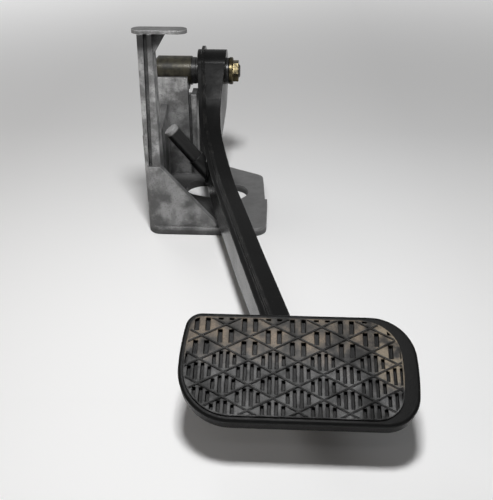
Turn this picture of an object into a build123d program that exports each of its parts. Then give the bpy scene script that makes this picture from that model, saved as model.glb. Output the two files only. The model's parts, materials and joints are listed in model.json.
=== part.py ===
from build123d import *
import os
from math import atan2, cos, degrees, radians, sin

# Hanging brake pedal: a cast bracket, its pivot, a hollow two-shell arm and a rubber-covered pad.
# Lengths are in millimetres. X runs along the pivot, Z stands off the bulkhead face at Z = 0, and the
# pad lies towards -Y. The origin is midway between the two front fixing bolts, on the bulkhead face.

# Pivot
pivot_y = 97.0
pivot_z = 104.0
journal_r = 8.0
thread_r = 6.0
barrel_r = 13.0
barrel_length = 35.0
barrel_chamfer = 4.0
thread_end = 1.5
thread_chamfer = 1.0
running_clearance = 0.05
axial_play = 0.2

# Stack on the pivot, left to right
spacer_length = 3.8
spacer_r = 12.0
bush_flange = 2.0
bush_r = 10.0
bush_length = 11.0
bush_flange_r = 11.6
washer_thickness = 3.6
washer_r = 12.2
washer_chamfer = 0.6
nut_height = 5.0
nut_across_flats = 17.0

# Arm
hub_left = -10.0
hub_width = 26.0
hub_r = 19.0
hub_tube_r = 12.0
arm_wall = 2.0
arm_width = 17.2
arm_depth = 24.0
arm_end_depth = 14.0
arm_bend_r = 110.0
seam_inset = 5.2
seam_rim = 3.0
seam_sheet = 1.2
elbow_y = 44.0
elbow_z = 56.0
knee_y = -20.0
knee_z = 37.0
shin_y = -130.0
shin_z = 33.0
arm_end_z = 36.0

# Push-rod stud on the arm's left flank
stud_r = 6.0
stud_length = 47.0
stud_collar_r = 7.0
stud_collar = 14.0
stud_sink = 9.2
stud_y = 8.0
stud_z = 45.0
stud_tilt = 52.0
stud_swing = -5.0
stud_chamfer = 0.8

# Pad
pad_width = 120.0
pad_height = 61.0
pad_bulge = 3.5
pad_tilt = 26.0
pad_x = 76.0
pad_y = -242.0
pad_z = 47.7
pad_top_left_r = 9.0
pad_top_right_r = 24.0
pad_bottom_right_r = 18.0
pad_bottom_left_r = 29.0
cover_top = 6.0
cover_edge_r = 1.6
cover_wall = 3.5
cover_lip = 2.0
cover_lip_reach = 3.0
plate_thickness = 3.0
plate_clearance = 0.2
arm_end_inset = 2.0

# Tread
tread_margin = 3.0
tread_rise = 1.2
tread_right_band = 5.5
tread_shift = 2.5
diamond_width = 26.0
diamond_height = 13.6
ridge_width = 0.9
ridge_rise = 0.7
ridge_end_gap = 0.8
slot_depth = 2.4
slot_width = 1.9
slot_pitch = 3.6
worn_slot_width = 2.6
worn_slot_pitch = 6.0
slot_end_gap = 0.6
worn_above = 4.0

# Bracket casting
flange_thickness = 7.0
flange_left = -44.0
flange_right = 56.0
flange_front = -27.0
flange_step = 2.0
flange_step_y = 28.0
flange_shoulder_x = 51.0
flange_shoulder_y = 78.0
flange_rear_x = -12.0
flange_rear_y = 114.0
flange_corner_r = 11.0
bolt_spacing = 48.0
bolt_hole_r = 4.2
rear_bolt_x = 8.0
rear_bolt_y = 88.0
opening_x = 8.8
opening_y = 45.6
opening_length = 60.0
opening_width = 34.0
opening_turn = -18.0
wall_thickness = 5.5
wall_front_z = 84.0
wall_dip_y = 28.0
wall_dip_z = 62.0
wall_dip_r = 45.0
wall_rear_z = 80.0
column_width = 14.0
column_depth = 15.0
column_setback = 4.0
column_lean = 3.5
column_groove = 3.0
column_groove_depth = 3.5
column_rib = 4.5
tab_z = 164.4
tab_thickness = 2.6
tab_length = 41.0
tab_width = 13.0
tab_overhang = 1.5
tab_gusset_height = 16.0
tab_gusset_reach = 10.0
tab_gusset_thickness = 4.0
gusset_reach = 44.0
gusset_height = 54.0
gusset_thickness = 6.0
gusset_setback = 1.5
gusset_toe = 3.0
pillar_plate = 8.0
saddle_wall = 4.0
saddle_inset = 3.0
saddle_overhang = 5.0
saddle_lip = 2.0
saddle_back = 8.0
side_rib = 5.0
side_rib_gap = 2.6
side_rib_depth = 20.0
side_rib_setback = 1.0
side_rib_top = 86.0

# Places worked out from the sizes above
hub_right = hub_left + hub_width
hub_x = hub_left + hub_width / 2
bush_left = hub_left - bush_flange
bush_right = hub_right + bush_flange
barrel_right = bush_left - axial_play - spacer_length
barrel_left = barrel_right - barrel_length
washer_left = bush_right + axial_play
nut_left = washer_left + washer_thickness
nut_right = nut_left + nut_height
plate_depth = cover_top + plate_thickness
cover_depth = plate_depth + cover_lip
tilt_cos = cos(radians(pad_tilt))
tilt_sin = sin(radians(pad_tilt))
opening_half = pad_height / 2 - cover_wall - cover_lip_reach
arm_end_y = pad_y + plate_depth * tilt_sin - (opening_half - arm_end_inset) * tilt_cos
rim_end_y = pad_y + pad_height / 2
diamond_rows = int(pad_height / diamond_height) + 2
diamond_columns = int(pad_width / diamond_width) + 1
arm_slant = (pad_x - hub_x) / (elbow_y - pad_y)
reach = 2 * (pad_width + hub_width - pad_y)

pad_plane = Plane(origin=(pad_x, pad_y, pad_z), x_dir=(1, 0, 0), z_dir=(0, -tilt_sin, tilt_cos))
pivot_plane = Plane(origin=(0, pivot_y, pivot_z), x_dir=(0, 1, 0), z_dir=(1, 0, 0))

os.makedirs("parts", exist_ok=True)


def finish(piece, label):
    """Name a piece and write it out."""
    piece.part.label = label
    export_step(piece.part, f"parts/{label}.step")


def ring(x_start, length, outer_r, inner_r):
    """Add a ring about the pivot axis to the part being built."""
    with BuildSketch(pivot_plane.offset(x_start)) as section:
        Circle(outer_r)
        Circle(inner_r, mode=Mode.SUBTRACT)
    extrude(section.sketch, amount=length)


# Pivot pin: the thick barrel sits in the bracket, the journal carries the arm and the thread the nut
with BuildPart() as pivot_pin:
    with BuildSketch(pivot_plane.offset(barrel_left)):
        Circle(barrel_r)
    extrude(amount=barrel_length)
    chamfer(pivot_pin.edges().group_by(Axis.X)[0], length=barrel_chamfer)
    with BuildSketch(pivot_plane.offset(barrel_right)):
        Circle(journal_r)
    extrude(amount=washer_left - barrel_right)
    with BuildSketch(pivot_plane.offset(washer_left)):
        Circle(thread_r)
    extrude(amount=nut_right + thread_end - washer_left)
    chamfer(pivot_pin.edges().group_by(Axis.X)[-1], length=thread_chamfer)
finish(pivot_pin, "pivot_pin")

with BuildPart() as spacer_ring:
    ring(barrel_right, spacer_length, spacer_r, journal_r + running_clearance)
finish(spacer_ring, "spacer_ring")

with BuildPart() as thrust_washer:
    ring(washer_left, washer_thickness, washer_r, thread_r)
    round_edges = thrust_washer.edges().filter_by(GeomType.CIRCLE)
    chamfer(round_edges.group_by(SortBy.RADIUS)[-1], length=washer_chamfer)
finish(thrust_washer, "thrust_washer")

with BuildPart() as pivot_nut:
    with BuildSketch(pivot_plane.offset(nut_left)):
        RegularPolygon(nut_across_flats / 2, 6, major_radius=False)
        Circle(thread_r, mode=Mode.SUBTRACT)
    extrude(amount=nut_height)
finish(pivot_nut, "pivot_nut")

# Plastic bushes, pressed into the hub tube from both ends and running on the journal
with BuildPart() as hub_bush_left:
    ring(bush_left, bush_flange, bush_flange_r, journal_r + running_clearance)
    ring(hub_left, bush_length, bush_r, journal_r + running_clearance)
finish(hub_bush_left, "hub_bush_left")

with BuildPart() as hub_bush_right:
    ring(hub_right, bush_flange, bush_flange_r, journal_r + running_clearance)
    ring(hub_right - bush_length, bush_length, bush_r, journal_r + running_clearance)
finish(hub_bush_right, "hub_bush_right")

with BuildPart() as hub_tube:
    ring(hub_left, hub_width, hub_tube_r, bush_r)
finish(hub_tube, "hub_tube")


def edge_points(stations, side, inset):
    """Points along one side of a strip whose stations are two coordinates and a half width."""
    places = [Vector(a, b) for a, b, half in stations]
    runs = [(after - before).normalized() for before, after in zip(places, places[1:])]
    points = []
    for index, (place, station) in enumerate(zip(places, stations)):
        before = runs[max(index - 1, 0)]
        after = runs[min(index, len(runs) - 1)]
        mitre = Vector(before.Y + after.Y, -before.X - after.X)
        point = place + mitre * (side * (station[2] - inset) * 2 / mitre.length**2)
        points.append((point.X, point.Y))
    return points


def strip(plane, first, second):
    """Face between two sides of a strip, with their bends rounded."""
    with BuildSketch(plane) as face:
        with BuildLine():
            one = FilletPolyline(*first, radius=arm_bend_r)
            two = FilletPolyline(*second, radius=arm_bend_r)
            Line(one @ 0, two @ 0)
            Line(one @ 1, two @ 1)
        make_face()
    return face.sketch


def arm_plan(end_y):
    """Stations of the arm seen from above, down to end_y."""
    return [
        (hub_x, pivot_y + 2 * hub_r, hub_width / 2),
        (hub_x, pivot_y - hub_r / 2, hub_width / 2),
        (hub_x, elbow_y, arm_width / 2),
        (hub_x + arm_slant * (elbow_y - end_y), end_y, arm_width / 2),
    ]


def arm_block(grow, first, second):
    """Length of the arm between two plan edges, with its side view grown by grow."""
    side_view = [
        (pivot_y, pivot_z, hub_r),
        (elbow_y, elbow_z, arm_depth / 2),
        (knee_y, knee_z, arm_depth / 2),
        (shin_y, shin_z, arm_depth / 2),
        (arm_end_y, arm_end_z, arm_end_depth / 2),
    ]
    side_face = strip(Plane.YZ, edge_points(side_view, 1, -grow), edge_points(side_view, -1, -grow))
    plan_face = strip(Plane.XY, first, second)
    with BuildPart() as block:
        extrude(side_face, amount=reach, both=True)
        with BuildSketch(pivot_plane):
            Circle(hub_r + grow)
        extrude(amount=reach, both=True)
        extrude(plan_face, amount=reach, both=True, mode=Mode.INTERSECT)
        with BuildSketch(pad_plane.offset(-plate_depth)):
            Rectangle(2 * pad_width, 2 * pad_height)
        extrude(amount=reach, mode=Mode.SUBTRACT)
    return block.part


# Arm: two pressed half shells, welded along a thin rim that stands proud of the seam
full_plan = arm_plan(arm_end_y)
hollow_plan = arm_plan(arm_end_y + arm_wall)
rim_plan = arm_plan(rim_end_y)
seam = edge_points(full_plan, 1, seam_inset)
hollow_seam = edge_points(hollow_plan, 1, seam_inset)
rim_seam = edge_points(rim_plan, 1, seam_inset)
left_solid = arm_block(0, edge_points(full_plan, 1, 0), seam)
right_solid = arm_block(0, seam, edge_points(full_plan, -1, 0))
left_hollow = arm_block(-arm_wall, edge_points(hollow_plan, 1, arm_wall), hollow_seam)
right_hollow = arm_block(-arm_wall, hollow_seam, edge_points(hollow_plan, -1, arm_wall))
left_rim = arm_block(seam_rim, edge_points(rim_plan, 1, seam_inset - seam_sheet), rim_seam)
right_rim = arm_block(seam_rim, rim_seam, edge_points(rim_plan, 1, seam_inset + seam_sheet))


def press_shell(solid, rim, hollow):
    """Build one half shell in the part being made: solid and rim, less the hollow and the hub bore."""
    add(solid)
    add(rim)
    add(hollow, mode=Mode.SUBTRACT)
    with BuildSketch(pivot_plane) as bore:
        Circle(hub_tube_r)
    extrude(bore.sketch, amount=reach, both=True, mode=Mode.SUBTRACT)


with BuildPart() as arm_left_shell:
    press_shell(left_solid, left_rim, left_hollow)
finish(arm_left_shell, "arm_left_shell")

with BuildPart() as arm_right_shell:
    press_shell(right_solid, right_rim, right_hollow)
finish(arm_right_shell, "arm_right_shell")

# Push-rod stud: its foot follows the left flank it is welded to
stud_x = hub_x + arm_slant * (elbow_y - stud_y) - arm_width / 2
stud_way = Vector(
    -cos(radians(stud_tilt)) * cos(radians(stud_swing)),
    cos(radians(stud_tilt)) * sin(radians(stud_swing)),
    sin(radians(stud_tilt)),
)
stud_foot = Vector(stud_x, stud_y, stud_z) - stud_way * stud_sink
stud_plane = Plane(origin=stud_foot, z_dir=stud_way)

with BuildPart() as push_rod_stud:
    with BuildSketch(stud_plane):
        Circle(stud_collar_r)
    extrude(amount=stud_sink + stud_collar)
    with BuildSketch(stud_plane):
        Circle(stud_r)
    extrude(amount=stud_sink + stud_length)
    chamfer(push_rod_stud.edges().sort_by(Axis((0, 0, 0), stud_way))[-1], length=stud_chamfer)
    add(left_solid, mode=Mode.SUBTRACT)
    add(right_solid, mode=Mode.SUBTRACT)
finish(push_rod_stud, "push_rod_stud")


def pad_outline(inset):
    """Pad outline in its own plane, drawn in by inset all round."""
    right = pad_width / 2
    top = pad_height / 2
    corners = [
        ((-right, top), pad_top_left_r),
        ((right, top), pad_top_right_r),
        ((right, -top), pad_bottom_right_r),
        ((-right, -top), pad_bottom_left_r),
    ]
    with BuildSketch() as outline:
        with BuildLine():
            Line((-right, top), (right, top))
            ThreePointArc((right, top), (right + pad_bulge, 0), (right, -top))
            Line((right, -top), (-right, -top))
            ThreePointArc((-right, -top), (-right - pad_bulge, 0), (-right, top))
        make_face()
        for corner, radius in corners:
            fillet(outline.vertices().sort_by_distance(corner)[0], radius=radius)
        offset(amount=-inset, mode=Mode.REPLACE)
    return outline.sketch


# Pad plate: the steel footplate welded on the arm's end
with BuildPart() as pad_plate:
    with BuildSketch(pad_plane.offset(-plate_depth)):
        add(pad_outline(cover_wall + plate_clearance))
    extrude(amount=plate_thickness)
finish(pad_plate, "pad_plate")


def tread_field(inset):
    """Outline of the tread, which leaves a wider plain band at the pad's right end."""
    field = pad_outline(tread_margin + inset)
    with BuildSketch() as outline:
        add(field)
        with Locations((-tread_right_band, 0)):
            add(field, mode=Mode.INTERSECT)
    return outline.sketch


def ridge_lines():
    """Thin lines that cross in diamonds all over the tread."""
    slope = degrees(atan2(diamond_height, diamond_width))
    rows = range(-diamond_rows, diamond_rows + 1)
    crossings = [(0, tread_shift + row * diamond_height) for row in rows]
    with BuildSketch() as lines:
        with Locations(*crossings):
            Rectangle(2 * pad_width, ridge_width, rotation=slope)
            Rectangle(2 * pad_width, ridge_width, rotation=-slope)
        add(tread_field(ridge_end_gap), mode=Mode.INTERSECT)
    return lines.sketch


def diamond_centres():
    """Centres of the diamonds, in staggered columns half a diamond apart."""
    centres = []
    for column in range(-diamond_columns, diamond_columns + 1):
        stagger = (column + 1) % 2 / 2
        for row in range(-diamond_rows, diamond_rows + 1):
            centre_y = tread_shift + (row + stagger) * diamond_height
            centres.append((column * diamond_width / 2, centre_y))
    return centres


def slot_pair(centres, half_gap, width):
    """Add two upright slots to each diamond of the sketch, stopping short of the diamond's sides."""
    outer = half_gap + width / 2
    length = diamond_height * (1 - 2 * outer / diamond_width) - 2 * slot_end_gap
    places = [(x + side * half_gap, y) for x, y in centres for side in (-1, 1)]
    with Locations(*places):
        Rectangle(width, length)


def diamond_slots():
    """Upright slots: four narrow ones in a diamond, two wide ones where the tread is worn."""
    centres = diamond_centres()
    worn = [centre for centre in centres if centre[1] > worn_above]
    crisp = [centre for centre in centres if centre[1] <= worn_above]
    with BuildSketch() as slots:
        slot_pair(worn, worn_slot_pitch / 2, worn_slot_width)
        slot_pair(crisp, slot_pitch / 2, slot_width)
        slot_pair(crisp, slot_pitch * 3 / 2, slot_width)
        add(tread_field(slot_end_gap), mode=Mode.INTERSECT)
    return slots.sketch


# Pad cover: the rubber wraps round the plate's edge and grips it from below
with BuildPart() as pad_cover:
    with BuildSketch(pad_plane.offset(-cover_depth)):
        add(pad_outline(0))
    extrude(amount=cover_depth - tread_rise)
    rim_edges = pad_cover.faces().sort_by(Axis((0, 0, 0), pad_plane.z_dir))[-1].edges()
    fillet(rim_edges, radius=cover_edge_r)
    with BuildSketch(pad_plane.offset(-tread_rise)):
        add(tread_field(0))
    extrude(amount=tread_rise)
    with BuildSketch(pad_plane.offset(-plate_depth)):
        add(pad_outline(cover_wall))
    extrude(amount=plate_thickness, mode=Mode.SUBTRACT)
    with BuildSketch(pad_plane.offset(-cover_depth)):
        add(pad_outline(cover_wall + cover_lip_reach))
    extrude(amount=cover_lip, mode=Mode.SUBTRACT)
    with BuildSketch(pad_plane):
        add(diamond_slots())
    extrude(amount=-slot_depth, mode=Mode.SUBTRACT)
    with BuildSketch(pad_plane):
        add(ridge_lines())
    extrude(amount=ridge_rise)
finish(pad_cover, "pad_cover")

# Bracket casting: flange, left wall with its front column and tab, front gusset and pivot pillar
column_right = flange_left + column_width
column_front = flange_front + column_setback
column_mid_y = column_front + column_depth / 2
groove_left = flange_left + column_rib
gusset_front = flange_front + gusset_setback
gusset_top = flange_thickness + gusset_height
saddle_r = barrel_r + saddle_wall
saddle_left = flange_left - saddle_overhang
saddle_right = barrel_right - saddle_inset
pillar_front = pivot_y - saddle_r
pillar_back = pillar_front + pillar_plate
rib_left = saddle_right + side_rib_gap
rib_right = rib_left + side_rib
tab_x = flange_left - tab_overhang + tab_length / 2

flange_points = [
    (flange_left, flange_front),
    (flange_right, flange_front),
    (flange_right, flange_step_y),
    (flange_right - flange_step, flange_step_y),
    (flange_shoulder_x, flange_shoulder_y),
    (flange_rear_x, flange_rear_y),
    (flange_left, flange_rear_y),
]
step_r = flange_step / 3
flange_radii = [flange_corner_r] * 2 + [step_r] * 2 + [flange_corner_r] * 3


def flange_outline():
    """Outline of the flange, seen from above."""
    with BuildSketch() as outline:
        with BuildLine():
            FilletPolyline(*flange_points, radius=flange_radii, close=True)
        make_face()
    return outline.sketch


def upright(front, depth, points, mode=Mode.ADD):
    """Add or cut a plate that stands across the bracket, from its front backwards by depth."""
    with BuildSketch(Plane.XZ.offset(-front)) as face:
        with BuildLine():
            Polyline(*points, close=True)
        make_face()
    extrude(face.sketch, amount=-depth, mode=mode)


with BuildPart() as bracket_casting:
    # Left wall, whose top edge sweeps down from the column and up to the pillar
    with BuildSketch(Plane.YZ.offset(flange_left)):
        with BuildLine():
            top = FilletPolyline(
                (column_mid_y, wall_front_z),
                (wall_dip_y, wall_dip_z),
                (pillar_back, wall_rear_z),
                radius=wall_dip_r,
            )
            Polyline(top @ 1, (pillar_back, 0), (column_mid_y, 0), top @ 0)
        make_face()
    extrude(amount=wall_thickness)

    # Front column, leaning in towards the tab, with a groove down its front between two ribs
    column_face = [
        (flange_left, 0),
        (column_right, 0),
        (column_right, tab_z),
        (flange_left + column_lean, tab_z),
    ]
    upright(column_front, column_depth, column_face)
    groove_face = [
        (groove_left, gusset_top),
        (groove_left + column_groove, gusset_top),
        (groove_left + column_lean + column_groove, tab_z),
        (groove_left + column_lean, tab_z),
    ]
    upright(column_front, column_groove_depth, groove_face, Mode.SUBTRACT)

    # Front gusset, from the column down to the flange
    gusset_face = [
        (flange_left, 0),
        (column_right + gusset_reach, 0),
        (column_right + gusset_reach, flange_thickness + gusset_toe),
        (column_right, gusset_top),
        (flange_left, gusset_top),
    ]
    upright(gusset_front, gusset_thickness, gusset_face)

    # The walls follow the rounded corners of the flange, which has its opening and bolt holes
    with BuildSketch():
        add(flange_outline())
    extrude(amount=tab_z, mode=Mode.INTERSECT)
    with BuildSketch():
        add(flange_outline())
    extrude(amount=flange_thickness)
    with BuildSketch():
        with Locations((opening_x, opening_y)):
            SlotOverall(opening_length, opening_width, rotation=opening_turn)
        with Locations((-bolt_spacing / 2, 0), (bolt_spacing / 2, 0), (rear_bolt_x, rear_bolt_y)):
            Circle(bolt_hole_r)
    extrude(amount=flange_thickness, mode=Mode.SUBTRACT)

    # Tab on top of the column, with the web under its free end
    with BuildSketch(Plane.XY.offset(tab_z)):
        with Locations((tab_x, column_mid_y)):
            SlotOverall(tab_length, tab_width)
    extrude(amount=tab_thickness)
    tab_gusset_face = [
        (column_right, tab_z),
        (column_right + tab_gusset_reach, tab_z),
        (column_right, tab_z - tab_gusset_height),
    ]
    upright(column_mid_y - tab_gusset_thickness / 2, tab_gusset_thickness, tab_gusset_face)

    # Pivot pillar: a plate up to the saddle that holds the pin's barrel from below and behind
    pillar_face = [
        (flange_left, 0),
        (saddle_right, 0),
        (saddle_right, pivot_z - saddle_lip),
        (saddle_left, pivot_z - saddle_lip),
    ]
    upright(pillar_front, pillar_plate, pillar_face)
    with BuildSketch(Plane.YZ.offset(saddle_left)):
        with Locations((pivot_y, pivot_z)):
            Circle(saddle_r)
        with Locations((pivot_y, pivot_z - saddle_lip)):
            Rectangle(saddle_r, 2 * saddle_r, align=(Align.MAX, Align.MIN), mode=Mode.SUBTRACT)
        with Locations((pivot_y, pivot_z + saddle_back)):
            Rectangle(2 * saddle_r, saddle_r, align=(Align.CENTER, Align.MIN), mode=Mode.SUBTRACT)
    extrude(amount=saddle_right - saddle_left)

    # Rib beside the pillar, joined to it by a thinner web
    with BuildSketch():
        with Locations((rib_left, pillar_front + side_rib_setback)):
            Rectangle(side_rib, side_rib_depth, align=(Align.MIN, Align.MIN))
        with Locations((saddle_right, pillar_back)):
            Rectangle(rib_right - saddle_right, pillar_plate / 2, align=(Align.MIN, Align.MAX))
    extrude(amount=side_rib_top)
    with BuildSketch(pivot_plane.offset(saddle_left)):
        Circle(barrel_r)
    extrude(amount=saddle_right - saddle_left, mode=Mode.SUBTRACT)
finish(bracket_casting, "bracket_casting")
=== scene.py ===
import json
import math

import bmesh
import bpy
from mathutils import Matrix, Vector


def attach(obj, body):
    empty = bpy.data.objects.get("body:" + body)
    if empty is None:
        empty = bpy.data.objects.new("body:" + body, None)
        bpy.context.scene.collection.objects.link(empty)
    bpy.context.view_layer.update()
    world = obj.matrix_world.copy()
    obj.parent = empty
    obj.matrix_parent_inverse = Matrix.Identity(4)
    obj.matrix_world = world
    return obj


# Looks of the brake pedal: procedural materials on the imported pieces, two fine pieces, studio and camera.
# Lengths are in metres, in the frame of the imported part.

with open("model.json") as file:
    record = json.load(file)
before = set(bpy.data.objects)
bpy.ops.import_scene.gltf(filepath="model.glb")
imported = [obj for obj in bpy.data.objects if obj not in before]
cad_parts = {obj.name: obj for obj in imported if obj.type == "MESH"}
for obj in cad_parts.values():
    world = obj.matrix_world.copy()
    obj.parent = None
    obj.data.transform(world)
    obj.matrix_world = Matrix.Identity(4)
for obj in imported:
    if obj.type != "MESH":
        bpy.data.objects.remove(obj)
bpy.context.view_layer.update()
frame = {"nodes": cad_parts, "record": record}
nodes = frame["nodes"]

RIGHT = (1, 0, 0)
BACK = (0, 1, 0)
UP = (0, 0, 1)

# Places on the pad and the stud
PAD_CENTRE = Vector((0.076, -0.242, 0.0477))
PAD_TILT = math.radians(26)
PAD_UP = Vector((0, math.cos(PAD_TILT), math.sin(PAD_TILT)))
PAD_OUT = Vector((0, -math.sin(PAD_TILT), math.cos(PAD_TILT)))
MM = 0.001
stud = next(mount for mount in frame["record"]["mounts"] if mount["name"] == "push_rod_stud_pin")
STUD_WAY = Vector(stud["axis"])
STUD_HALF = MM * stud["dims"]["length_mm"] / 2
STUD_CHAMFER = 0.8 * MM
STUD_END = Vector(stud["pos_m"]) + (STUD_HALF + STUD_CHAMFER) * STUD_WAY

# Places on the casting where its painted light and shade change
FOOT_TOP = 0.003
BAY_FRONT = -0.02
BAY_BACK = 0.062
BAY_RIGHT = 0.036
BAY_LOW = 0.03
UPPER_HALF = 0.045
TAB_UNDERSIDE = 0.1644


def put(tree, kind, sockets=None, **settings):
    """Add a node, set its properties and feed its sockets with values or other nodes' outputs."""
    node = tree.nodes.new(kind)
    for name, value in settings.items():
        setattr(node, name, value)
    for name, value in (sockets or {}).items():
        if isinstance(value, bpy.types.NodeSocket):
            tree.links.new(value, node.inputs[name])
        else:
            node.inputs[name].default_value = value
    return node


def place(tree):
    """Place on the piece at rest, in metres."""
    return put(tree, "ShaderNodeTexCoord").outputs["Object"]


def noise(tree, size, detail=4.0, roughness=0.55, stretch=(1, 1, 1)):
    """Cloudy value from 0 to 1 whose blotches are about size across."""
    scaled = put(tree, "ShaderNodeVectorMath", {0: place(tree), 1: stretch}, operation="MULTIPLY")
    sockets = {"Vector": scaled.outputs[0], "Scale": 1 / size, "Detail": detail, "Roughness": roughness}
    return put(tree, "ShaderNodeTexNoise", sockets).outputs["Fac"]


def span(tree, value, low, high, to_low=0.0, to_high=1.0):
    """Value moved smoothly from the span low..high to the span to_low..to_high."""
    sockets = {"Value": value, "From Min": low, "From Max": high, "To Min": to_low, "To Max": to_high}
    return put(tree, "ShaderNodeMapRange", sockets, interpolation_type="SMOOTHSTEP").outputs[0]


def calc(tree, operation, first, second):
    """Two values put together by a sum, product or the like."""
    return put(tree, "ShaderNodeMath", {0: first, 1: second}, operation=operation).outputs[0]


def product(tree, *shares):
    """Product of several shares, which is high only where all of them are."""
    result = shares[0]
    for share in shares[1:]:
        result = calc(tree, "MULTIPLY", result, share)
    return result


def along(tree, origin, direction):
    """Distance from origin along a direction, in metres."""
    moved = put(tree, "ShaderNodeVectorMath", {0: place(tree), 1: origin}, operation="SUBTRACT")
    dot = put(tree, "ShaderNodeVectorMath", {0: moved.outputs[0], 1: direction}, operation="DOT_PRODUCT")
    return dot.outputs["Value"]


def tint(tree, share, first, second):
    """Colour between first and second."""
    mixed = put(tree, "ShaderNodeMix", {0: share, 6: first, 7: second}, data_type="RGBA")
    return mixed.outputs[2]


def grey(level, warmth=0.0):
    """Grey of a linear level, a little warm if warmth is above 0."""
    return (level * (1 + warmth), level, level * (1 - warmth), 1)


def eased(tree, radius):
    """Normal of a piece whose sharp edges look rounded by a radius."""
    return put(tree, "ShaderNodeBevel", {"Radius": radius}, samples=6).outputs[0]


def bump(tree, height, distance, edge):
    """Normal of a surface roughened by height, distance deep at most, with its edges eased by edge."""
    sockets = {"Height": height, "Distance": distance, "Normal": eased(tree, edge)}
    return put(tree, "ShaderNodeBump", sockets).outputs[0]


def edges(tree, radius):
    """Share that is 1 on the sharp edges of a piece and 0 on its faces."""
    flat = put(tree, "ShaderNodeNewGeometry").outputs["Normal"]
    agree = put(tree, "ShaderNodeVectorMath", {0: eased(tree, radius), 1: flat}, operation="DOT_PRODUCT")
    return span(tree, agree.outputs["Value"], 0.80, 0.98, 1, 0)


def finish(name, build):
    """Material whose Principled sockets are what build(tree) gives."""
    material = bpy.data.materials.new(name)
    material.use_nodes = True
    tree = material.node_tree
    tree.nodes.clear()
    shader = put(tree, "ShaderNodeBsdfPrincipled", build(tree))
    put(tree, "ShaderNodeOutputMaterial", {"Surface": shader.outputs[0]})
    return material


def casting_skin(tree, blotch, grain):
    """Colour of the bare casting: mottled and pitted, paler higher up as painted light, dulled with painted
    shade where it faces up, pale on its edges partly from abrasion and partly as painted highlight.
    """
    streak = noise(tree, 0.02, 4, stretch=(2.2, 2.2, 0.6))
    # Painted light: the casting is paler higher up, lifting its upright faces.
    high = span(tree, along(tree, (0, 0, UPPER_HALF), UP), 0, 0.03)
    pale = tint(tree, high, grey(0.30), grey(0.52))
    dull = tint(tree, high, grey(0.11), grey(0.18))
    mottled = tint(tree, span(tree, blotch, 0.36, 0.64), dull, pale)
    streaked = tint(tree, span(tree, streak, 0.5, 0.68, 0, 0.55), mottled, grey(0.11))
    pitted = tint(tree, span(tree, grain, 0.52, 0.72, 0, 0.6), streaked, grey(0.085))
    # Painted shade: faces that face up are dulled to a darker grey.
    normal = put(tree, "ShaderNodeNewGeometry").outputs["Normal"]
    facing_up = put(tree, "ShaderNodeSeparateXYZ", {0: normal}).outputs["Z"]
    up_facing_shade = span(tree, facing_up, 0.4, 0.95, 0, 0.85)
    shaded_skin = tint(tree, up_facing_shade, pitted, tint(tree, high, grey(0.175), grey(0.10)))
    # Edges paled to grey, partly abrasion and partly painted highlight.
    abrasion_and_glint = product(tree, edges(tree, 0.0010), span(tree, streak, 0.38, 0.62, 0.05, 0.75))
    return tint(tree, abrasion_and_glint, shaded_skin, grey(0.5))


def casting_shade(tree, skin):
    """Colour of the casting with painted shade at its foot, deep in its bay, in its crevices and under its
    tab.
    """
    # Painted shade: the foot of the flange is darkened.
    foot = span(tree, along(tree, (0, 0, FOOT_TOP), UP), 0, 0.003, 0.75, 0)
    foot_shaded = tint(tree, foot, skin, grey(0.035))
    # Painted shade: the flange deep in the bay behind the gusset is darkened.
    behind = span(tree, along(tree, (0, BAY_FRONT, 0), BACK), 0, 0.004)
    before = span(tree, along(tree, (0, BAY_BACK, 0), BACK), 0, 0.014, 1, 0)
    low = span(tree, along(tree, (0, 0, BAY_LOW), UP), 0, 0.03, 1, 0)
    left = span(tree, along(tree, (BAY_RIGHT, 0, 0), RIGHT), -0.02, 0.0, 1, 0)
    bay = tint(tree, product(tree, behind, before, low, left, 0.85), foot_shaded, grey(0.03))
    # Painted shade: crevices are darkened through ambient occlusion.
    open_sky = put(tree, "ShaderNodeAmbientOcclusion", {"Distance": 0.007}, samples=6).outputs["AO"]
    crevices = tint(tree, span(tree, open_sky, 0.35, 0.75, 0.9, 0), bay, grey(0.025))
    # Painted shadow: a band just under the tab is darkened.
    height = along(tree, (0, 0, TAB_UNDERSIDE), UP)
    near_tab = span(tree, height, -0.014, -0.008)
    under_tab = span(tree, height, -0.0004, 0.0002, 1, 0)
    return tint(tree, product(tree, near_tab, under_tab, 0.9), crevices, grey(0.02))


def cast_aluminium(tree):
    """As-cast aluminium: mottled dull grey and grainy, with painted light and shade."""
    blotch = noise(tree, 0.014, 5)
    grain = noise(tree, 0.0012, 3)
    rough_skin = calc(tree, "ADD", grain, calc(tree, "MULTIPLY", noise(tree, 0.004), 1.5))
    return {
        "Base Color": casting_shade(tree, casting_skin(tree, blotch, grain)),
        "Metallic": 0.35,
        "Roughness": span(tree, blotch, 0.3, 0.7, 0.62, 0.42),
        "Normal": bump(tree, rough_skin, 0.0003, edge=0.0012),
    }


def black_paint(tree):
    """Dipped black paint: glossy, slightly uneven, with fine dust, and edges paled partly by abrasion and
    partly as painted highlight.
    """
    flow = noise(tree, 0.02, 3)
    dust = span(tree, noise(tree, 0.0008, 2), 0.66, 0.74, 0, 0.4)
    # Painted highlight: pale lines along the edges, partly abraded paint.
    abraded_and_glint = product(tree, edges(tree, 0.0008), span(tree, noise(tree, 0.012, 4), 0.45, 0.65))
    orange_peel = noise(tree, 0.0035, 2)
    return {
        "Base Color": tint(tree, calc(tree, "MAXIMUM", dust, abraded_and_glint), grey(0.004), grey(0.06, 0.05)),
        "Roughness": span(tree, flow, 0.3, 0.7, 0.18, 0.26),
        "Specular IOR Level": 0.2,
        "Normal": bump(tree, orange_peel, 0.00005, edge=0.0012),
    }


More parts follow.
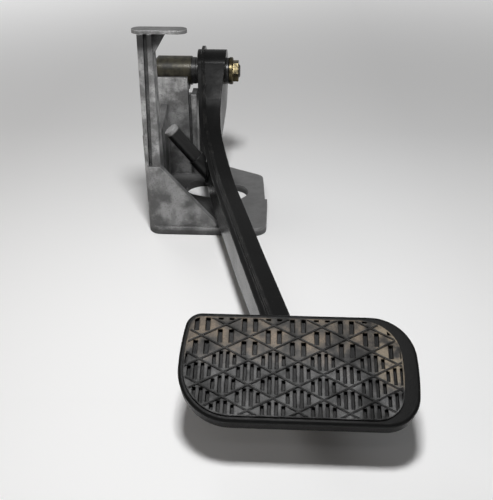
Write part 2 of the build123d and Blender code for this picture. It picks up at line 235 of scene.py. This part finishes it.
def stud_paint(tree):
    """Black paint along the stud, abraded to dull bare steel at its end."""
    end = span(tree, along(tree, STUD_END, STUD_WAY), -0.0045, -0.0030)
    speck = noise(tree, 0.0012, 3)
    bare = tint(tree, speck, grey(0.20), grey(0.34))
    return {
        "Base Color": tint(tree, end, grey(0.006), bare),
        "Metallic": calc(tree, "MULTIPLY", end, 0.3),
        "Roughness": span(tree, end, 0, 1, 0.4, 0.6),
        "Normal": bump(tree, speck, 0.00008, edge=0.0005),
    }


def turned(tree, dark, light, metal):
    """Sockets of turned steel whose stained colour lies between dark and light."""
    stain = noise(tree, 0.006, 5)
    turning = noise(tree, 0.02, 2, stretch=(60, 1, 1))
    return {
        "Base Color": tint(tree, span(tree, stain, 0.35, 0.65), dark, light),
        "Metallic": metal,
        "Roughness": span(tree, stain, 0.3, 0.7, 0.42, 0.28),
        "Normal": bump(tree, turning, 0.00006, edge=0.0006),
    }


# Painted shade: a darker copy of the turned zinc.
def zinc_painted_shade(tree):
    """Pivot pin: olive zinc darkened to dark brown as painted shade."""
    return turned(tree, (0.012, 0.011, 0.007, 1), (0.05, 0.045, 0.03, 1), 0.3)


def yellow_zinc(tree):
    """Washer and nut: yellow zinc that still shows its colour."""
    return turned(tree, (0.025, 0.021, 0.012, 1), (0.17, 0.14, 0.075, 1), 0.9)


def black_plastic(tree):
    """Moulded black bearing plastic with a fine satin grain."""
    grain = noise(tree, 0.0009, 3)
    return {
        "Base Color": tint(tree, grain, grey(0.006), grey(0.018)),
        "Roughness": span(tree, grain, 0.2, 0.8, 0.25, 0.4),
        "Normal": bump(tree, grain, 0.00005, edge=0.0005),
    }


def tread_dirt_and_sheen(tree, cloud, fine):
    """Colour of the tread bars: grey in patches, partly from rubbing and partly as painted sheen, dusty
    brown higher up and tan at the right end.
    """
    up = along(tree, PAD_CENTRE, PAD_UP)
    right = along(tree, PAD_CENTRE, RIGHT)
    patches = product(tree, fine, span(tree, cloud, 0.3, 0.7))
    # Painted sheen: grey patches on the bar tops, partly from rubbing.
    rubbed_and_sheen = tint(tree, patches, grey(0.018), grey(0.28))
    dusty = tint(tree, patches, (0.034, 0.028, 0.021, 1), (0.36, 0.29, 0.22, 1))
    tan = tint(tree, fine, (0.16, 0.13, 0.095, 1), (0.34, 0.29, 0.22, 1))
    upper = span(tree, calc(tree, "ADD", up, calc(tree, "MULTIPLY", cloud, 0.024)), 0.008, 0.03)
    dusted = product(tree, upper, span(tree, cloud, 0.34, 0.6, 0.25, 1))
    end = span(tree, calc(tree, "ADD", right, calc(tree, "MULTIPLY", cloud, 0.03)), 0.050, 0.064)
    blot = product(tree, end, span(tree, cloud, 0.42, 0.58), span(tree, up, -0.016, -0.004))
    return tint(tree, blot, tint(tree, dusted, rubbed_and_sheen, dusty), tan)


def black_rubber(tree):
    """Moulded rubber: black slots and ridges, bars between them with dirt and painted sheen, edges of the
    ridges paled partly by scuffing and partly as painted highlight.
    """
    out = along(tree, PAD_CENTRE, PAD_OUT)
    cloud = noise(tree, 0.011, 5)
    fine = noise(tree, 0.0009, 3)
    black = tint(tree, fine, grey(0.004), grey(0.010))
    above_slots = span(tree, out, -0.0010, -0.0003)
    below_ridges = span(tree, out, 0.0001, 0.0005, 1, 0.12)
    dirt_and_sheen = tint(tree, product(tree, above_slots, below_ridges), black, tread_dirt_and_sheen(tree, cloud, fine))
    on_ridges = span(tree, out, 0.0002, 0.0006)
    # Painted highlight: pale edges on the ridges, partly scuffing.
    scuffs_and_glint = product(tree, edges(tree, 0.0006), on_ridges, span(tree, cloud, 0.35, 0.6, 0.1, 0.8))
    return {
        "Base Color": tint(tree, scuffs_and_glint, dirt_and_sheen, grey(0.30)),
        "Roughness": span(tree, fine, 0.2, 0.8, 0.3, 0.48),
        "Specular IOR Level": 0.08,
        "Normal": bump(tree, calc(tree, "ADD", fine, cloud), 0.0001, edge=0.0008),
    }


finishes = [cast_aluminium, black_paint, stud_paint, zinc_painted_shade, yellow_zinc, black_plastic, black_rubber]
looks = {build.__name__: finish(build.__name__, build) for build in finishes}
# The pivot pin takes the darker zinc as painted shade.
special = {"push_rod_stud": "stud_paint", "pivot_pin": "zinc_painted_shade"}

for part in frame["record"]["subparts"]:
    mesh = nodes[part["node"]].data
    mesh.materials.clear()
    mesh.materials.append(looks[special.get(part["node"], part["material_slot"])])

# Fine pieces: the weld bead round the stud's foot and a nub of rubber left by the mould
COLLAR_R = 0.007
BEAD_R = 0.0013
BEAD_WAVE = 0.15
BEAD_RIPPLES = 18
BEAD_STEPS = 72
BEAD_SIDES = 10
NUB_R = 0.0017
NUB_SEGMENTS = 16
NUB_RINGS = 10
NUB_RIGHT = 0.040
NUB_DOWN = 0.0285
BELOW_PAD = 0.05


def dress(name, mesh, slot):
    """Make a mesh a piece of the pedal, finished as the slot's material."""
    for polygon in mesh.polygons:
        polygon.use_smooth = True
    mesh.materials.append(looks[slot])
    piece = bpy.data.objects.new(name, mesh)
    bpy.context.collection.objects.link(piece)
    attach(piece, "pedal")


def collar_line(shell):
    """Points on the line where the stud's collar enters the arm's shell."""
    across = STUD_WAY.orthogonal().normalized()
    other = STUD_WAY.cross(across)
    spots = []
    for step in range(BEAD_STEPS):
        turn = 2 * math.pi * step / BEAD_STEPS
        start = STUD_END + COLLAR_R * (math.cos(turn) * across + math.sin(turn) * other)
        spots.append(shell.ray_cast(start, -STUD_WAY)[1])
    return spots


def bead_corners(spots):
    """Corners of a rippled round bead along a closed line of points."""
    corners = []
    for step, spot in enumerate(spots):
        way = (spots[(step + 1) % BEAD_STEPS] - spots[step - 1]).normalized()
        side = way.cross(STUD_WAY).normalized()
        out = side.cross(way)
        radius = BEAD_R * (1 + BEAD_WAVE * math.sin(2 * math.pi * BEAD_RIPPLES * step / BEAD_STEPS))
        for number in range(BEAD_SIDES):
            angle = 2 * math.pi * number / BEAD_SIDES
            corners.append(spot + radius * (math.cos(angle) * side + math.sin(angle) * out))
    return corners


def bead_faces():
    """Faces of the bead as numbers of its corners."""
    faces = []
    for step in range(BEAD_STEPS):
        here = step * BEAD_SIDES
        ahead = (step + 1) % BEAD_STEPS * BEAD_SIDES
        for number in range(BEAD_SIDES):
            beside = (number + 1) % BEAD_SIDES
            faces.append((here + number, ahead + number, ahead + beside, here + beside))
    return faces


def weld_bead(name, shell):
    """Weld bead round the stud's collar on the arm's shell."""
    mesh = bpy.data.meshes.new(name)
    mesh.from_pydata(bead_corners(collar_line(shell)), [], bead_faces())
    dress(name, mesh, "black_paint")


def mould_nub(name, cover):
    """Small nub under the pad's lower edge."""
    below = PAD_CENTRE + NUB_RIGHT * Vector(RIGHT) - NUB_DOWN * PAD_UP - BELOW_PAD * PAD_OUT
    spot = cover.ray_cast(below, PAD_OUT)[1]
    detail = {"u_segments": NUB_SEGMENTS, "v_segments": NUB_RINGS}
    ball = bmesh.new()
    bmesh.ops.create_uvsphere(ball, radius=NUB_R, matrix=Matrix.Translation(spot), **detail)
    mesh = bpy.data.meshes.new(name)
    ball.to_mesh(mesh)
    ball.free()
    dress(name, mesh, "black_rubber")


weld_bead("stud_weld", nodes["arm_left_shell"])
mould_nub("pad_mould_nub", nodes["pad_cover"])

# Studio: a pale table, a soft flash above the camera, a window, a warm doorway and lamps for the far floor
TABLE_SIZE = 40
TABLE_Z = -0.0002
TABLE_NEAR = (-0.1, -0.27, 0)
TABLE_WAY = (0.25, 1, 0)
TABLE_FADE = 0.35
FLOOR_LAMP_OUT = 1.5
FLOOR_LAMP_Z = 2.5
FLOOR_LAMP_AIM = 6.4
ROOM_LIGHT = 0.08
ROOM_SEEN = 0.3


def table_top(tree):
    """Pale matte laminate, greyer towards the back and right as a painted fall-off of the light."""
    cloud = calc(tree, "MULTIPLY", noise(tree, 0.25, 3), 0.06)
    # Painted light fall-off: the colour greys with distance from the near left.
    distance = along(tree, TABLE_NEAR, TABLE_WAY)
    back = put(tree, "ShaderNodeMapRange", {"Value": distance, "From Max": TABLE_FADE}).outputs[0]
    return {
        "Base Color": tint(tree, calc(tree, "ADD", back, cloud), grey(0.95), grey(0.90)),
        "Roughness": 0.7,
        "Specular IOR Level": 0.1,
    }


def aim(way):
    """Rotation of a lamp or camera that looks along a way."""
    return way.to_track_quat("-Z", "Y").to_euler()


def lamp(name, at, towards, size, watts, colour=(1, 1, 1)):
    """Square area light at a place, turned towards another."""
    light = bpy.data.lights.new(name, "AREA")
    light.size = size
    light.energy = watts
    light.color = colour
    holder = bpy.data.objects.new(name, light)
    bpy.context.collection.objects.link(holder)
    holder.location = at
    holder.rotation_euler = aim(Vector(towards) - Vector(at))


def light_room():
    """World that lights weakly, and that camera, metal and glass see as a mid grey."""
    world = bpy.data.worlds.new("room")
    bpy.context.scene.world = world
    world.use_nodes = True
    room = world.node_tree
    ray = put(room, "ShaderNodeLightPath").outputs
    straight = calc(room, "MAXIMUM", ray["Is Camera Ray"], ray["Is Glossy Ray"])
    seen = calc(room, "MAXIMUM", straight, ray["Is Transmission Ray"])
    levels = {"Value": seen, "To Min": ROOM_LIGHT, "To Max": ROOM_SEEN}
    strength = put(room, "ShaderNodeMapRange", levels).outputs[0]
    background = room.nodes["Background"]
    background.inputs["Color"].default_value = (1, 1, 1, 1)
    room.links.new(strength, background.inputs["Strength"])


bpy.ops.mesh.primitive_plane_add(size=TABLE_SIZE, location=(0, 0, TABLE_Z))
table = bpy.context.object
table.name = "table"
table.data.materials.append(finish("table_top", table_top))

lamp("flash", at=(0.05, -0.29, 0.60), towards=(0.02, 0.1, 0.05), size=0.10, watts=3.4)
lamp("window", at=(-0.7, 1.05, 1.0), towards=(0, 0.7, 0), size=0.6, watts=3.5)
for number, (x, y) in enumerate([(1, 0), (0, 1), (-1, 0), (0, -1)]):
    floor_lamp_at = (FLOOR_LAMP_OUT * x, FLOOR_LAMP_OUT * y, FLOOR_LAMP_Z)
    lit_floor = (FLOOR_LAMP_AIM * x, FLOOR_LAMP_AIM * y, 0)
    lamp(f"floor_{number}", at=floor_lamp_at, towards=lit_floor, size=1.5, watts=85)
warm = (1, 0.72, 0.45)
lamp("doorway", at=(-0.9, -0.35, 0.35), towards=(0.05, -0.28, 0), size=0.3, watts=0.35, colour=warm)
light_room()

# Camera as the photograph was taken
CAMERA_AT = Vector((0.0602, -0.5012, 0.278))
CAMERA_WAY = Vector((-0.0371, 0.8509, -0.524))
SENSOR_MM = 36
LENS_MM = 46.8
camera_data = bpy.data.cameras.new("camera")
camera_data.sensor_fit = "VERTICAL"
camera_data.sensor_height = SENSOR_MM
camera_data.lens = LENS_MM
camera = bpy.data.objects.new("camera", camera_data)
bpy.context.collection.objects.link(camera)
camera.location = CAMERA_AT
camera.rotation_euler = aim(CAMERA_WAY)
bpy.context.scene.camera = camera
bpy.context.scene.view_settings.view_transform = "Standard"
